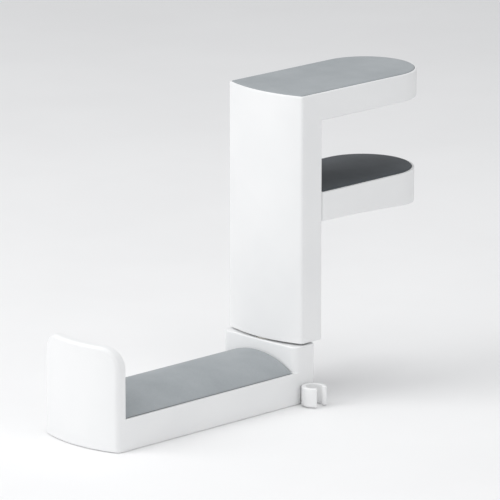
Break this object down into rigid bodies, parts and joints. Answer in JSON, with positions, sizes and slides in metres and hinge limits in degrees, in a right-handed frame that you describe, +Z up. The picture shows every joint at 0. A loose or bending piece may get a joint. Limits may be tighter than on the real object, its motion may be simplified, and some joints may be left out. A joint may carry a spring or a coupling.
{
  "type": "desk-edge headphone hook",
  "caption": "Clamp-on headphone hook: bowed column with padded top arm, sprung sliding jaw for the desk edge, swivelling padded hook and side cable clip.",
  "frame": {"origin": "middle of the upper arm's underside, the face that sits on the desk top; half way along the arm, on the centre plane", "axes": "+Z up, +Y from the column along the arm and over the desk, +X to the side the cable clip is on; the hook reaches out along -Y"},
  "size_m": [0.0509, 0.181, 0.125],
  "materials": {
    "white_plastic": "fine satin moulding",
    "pad_grey": "soft matte blue-grey",
    "pad_dark": "soft matte, dark grey",
    "steel": "zinc plated",
    "die_cast": "as cast",
    "black_plastic": "moulded",
    "nylon": "natural nylon"
  },
  "bodies": {
    "column": {"column_shell": "white_plastic", "rear_cover": "white_plastic", "arm_cover": "white_plastic", "top_pad": "pad_grey", "desk_pad": "pad_dark", "guide_rod_left": "steel", "guide_rod_right": "steel", "rod_block": "black_plastic", "swivel_plate": "die_cast", "jaw_spring_left": "steel", "jaw_spring_right": "steel", "swivel_bolt": "steel", "wave_washer": "steel", "plain_washer": "steel", "swivel_nut": "steel", "rear_cover_screw_a": "steel", "rear_cover_screw_b": "steel", "arm_cover_screw_a": "steel", "arm_cover_screw_b": "steel", "swivel_plate_screw_left": "steel", "swivel_plate_screw_right": "steel"},
    "jaw": {"slide_carriage": "die_cast", "jaw_shell": "white_plastic", "jaw_cover": "white_plastic", "leaf_root": "white_plastic", "jaw_pad_rear": "pad_dark", "tongue_screw_a": "steel", "tongue_screw_b": "steel", "jaw_cover_screw_a": "steel", "jaw_cover_screw_b": "steel"},
    "leaf": {"pressure_leaf": "white_plastic", "jaw_pad_front": "pad_dark"},
    "hook": {"hook_shell": "white_plastic", "hook_base_cover": "white_plastic", "hook_pad": "pad_grey", "cable_clip": "white_plastic", "friction_disc": "nylon", "base_cover_screw_a": "steel", "base_cover_screw_b": "steel", "base_cover_screw_c": "steel"}
  },
  "joints": [
    {"name": "jaw_slide", "type": "slide", "parent": "column", "child": "jaw", "axis": [0, 0, -1], "range_m": [-0.018, 0.017], "stiffness_N_per_m": 1040, "springref_m": -0.026, "deforming": ["jaw_spring_left", "jaw_spring_right"]},
    {"name": "leaf_hinge", "type": "hinge", "parent": "jaw", "child": "leaf", "pos_m": [0, -0.005, -0.0309], "axis": [-1, 0, 0], "range_deg": [0, 20], "stiffness_Nm_per_rad": 0.05, "springref_deg": 22.92},
    {"name": "hook_swivel", "type": "hinge", "parent": "column", "child": "hook", "pos_m": [0, -0.0405, -0.1], "axis": [0, 0, 1], "continuous": true}
  ]
}
